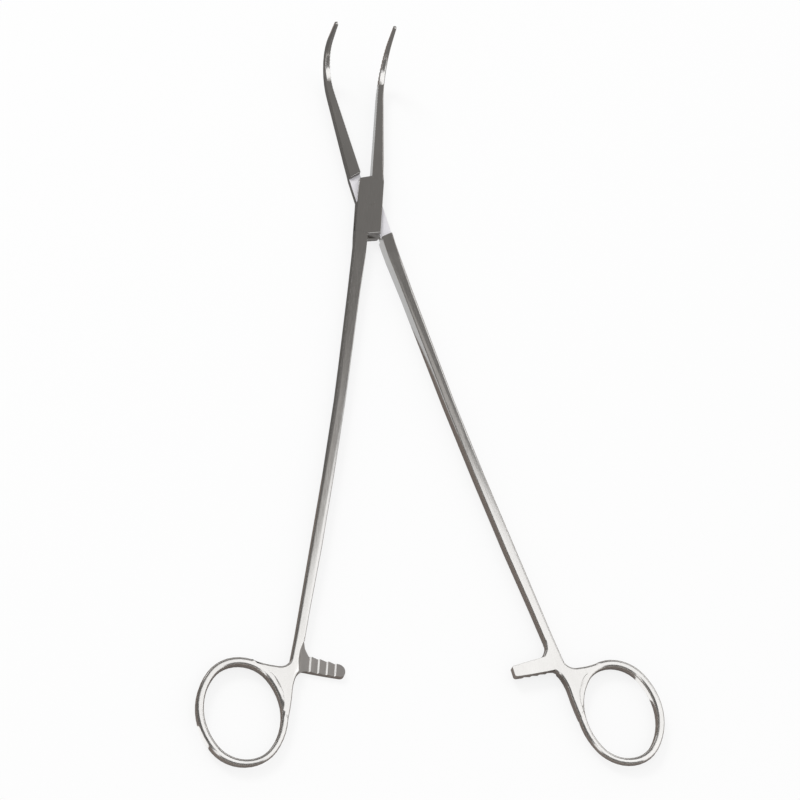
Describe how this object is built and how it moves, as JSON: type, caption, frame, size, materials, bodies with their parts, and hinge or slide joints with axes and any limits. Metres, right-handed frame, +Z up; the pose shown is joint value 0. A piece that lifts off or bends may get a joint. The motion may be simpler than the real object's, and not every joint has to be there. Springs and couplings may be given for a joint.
{
  "type": "right angle clamp",
  "caption": "Long surgical clamp with a box lock, finger rings, ratchet bars and slender jaws bent square to the handles.",
  "frame": {"origin": "on the pivot pin's axis, at the lock's back face, on which the clamp lies", "axes": "+X to the right, +Y from the finger rings to the jaws, +Z up along the pin, the way the tips point"},
  "size_m": [0.1372, 0.2537, 0.0249],
  "materials": {
    "satin_steel": "satin",
    "pin_steel": "satin"
  },
  "bodies": {
    "box_side": {"box_half": "satin_steel", "pivot_pin": "pin_steel"},
    "tongue_side": {"tongue_half": "satin_steel"}
  },
  "joints": [
    {"name": "box_lock", "type": "hinge", "parent": "box_side", "child": "tongue_side", "pos_m": [0, 0, 0], "axis": [0, 0, 1], "range_deg": [-18.6, 31.4]}
  ]
}
